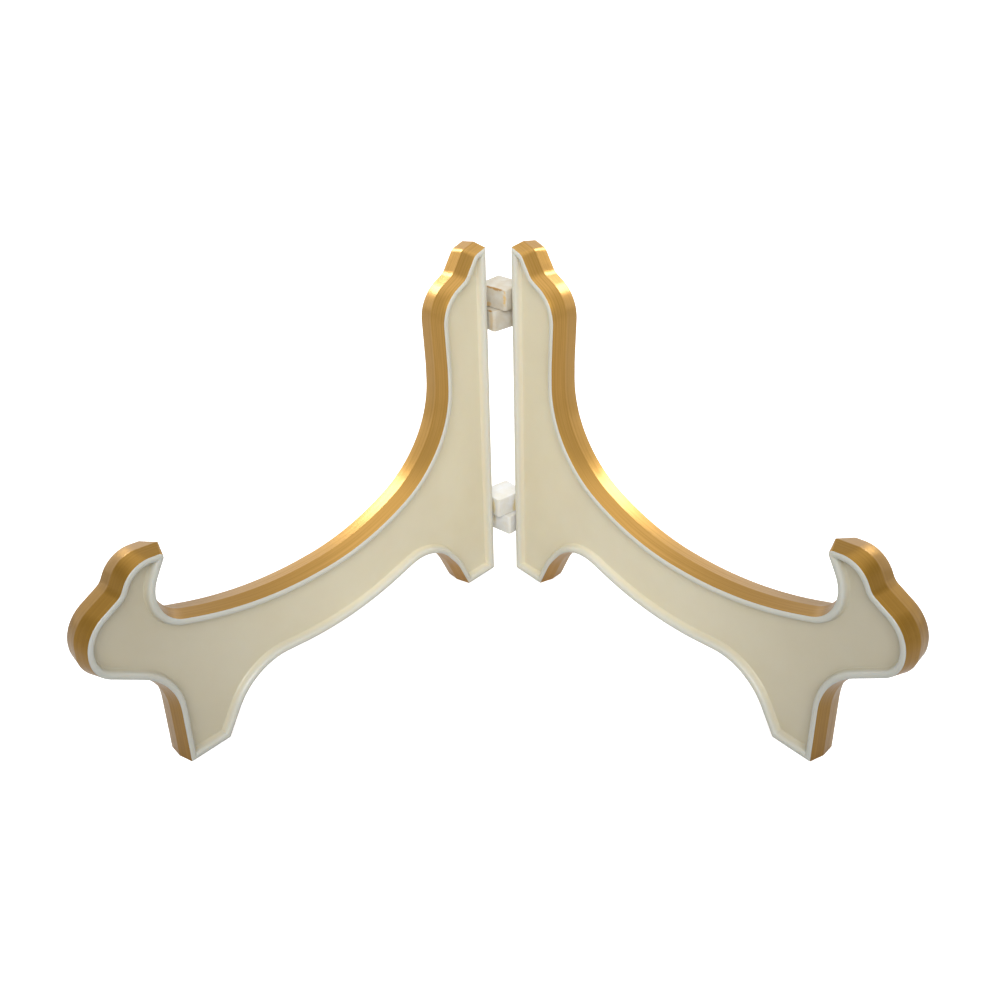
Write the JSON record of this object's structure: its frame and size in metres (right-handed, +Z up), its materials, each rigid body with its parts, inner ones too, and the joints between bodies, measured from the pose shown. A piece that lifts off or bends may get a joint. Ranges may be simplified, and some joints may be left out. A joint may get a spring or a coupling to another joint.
{
  "type": "display easel",
  "caption": "Folding display easel: scrolled side leaves in ivory plastic with gold edging, joined at the spine by pinned stacked-lug hinges, with front hooks that seat a plate.",
  "frame": {"origin": "on the floor, at the middle of the bounding box as the easel stands open", "axes": "+X to the right leaf seen from the front, -Y towards the front hooks, +Z up"},
  "size_m": [0.2634, 0.1552, 0.141],
  "materials": {
    "ivory_plastic": "satin moulded, ivory",
    "gold_edging": "satin metallic gold",
    "hinge_plastic": "satin moulded, ivory",
    "pin_steel": "drawn wire"
  },
  "bodies": {
    "left_side": {"left_leaf": "ivory_plastic", "left_front_edging": "gold_edging", "left_arch_edging": "gold_edging", "left_upper_hinge_lug": "hinge_plastic", "left_lower_hinge_lug": "hinge_plastic", "upper_hinge_pin": "pin_steel", "lower_hinge_pin": "pin_steel"},
    "right_side": {"right_leaf": "ivory_plastic", "right_front_edging": "gold_edging", "right_arch_edging": "gold_edging", "right_upper_hinge_lug": "hinge_plastic", "right_lower_hinge_lug": "hinge_plastic"}
  },
  "joints": [
    {"name": "spine_fold", "type": "hinge", "parent": "left_side", "child": "right_side", "pos_m": [0, 0.06629, 0.0703], "axis": [0, 0, 1], "range_deg": [-80.5, 15]}
  ]
}
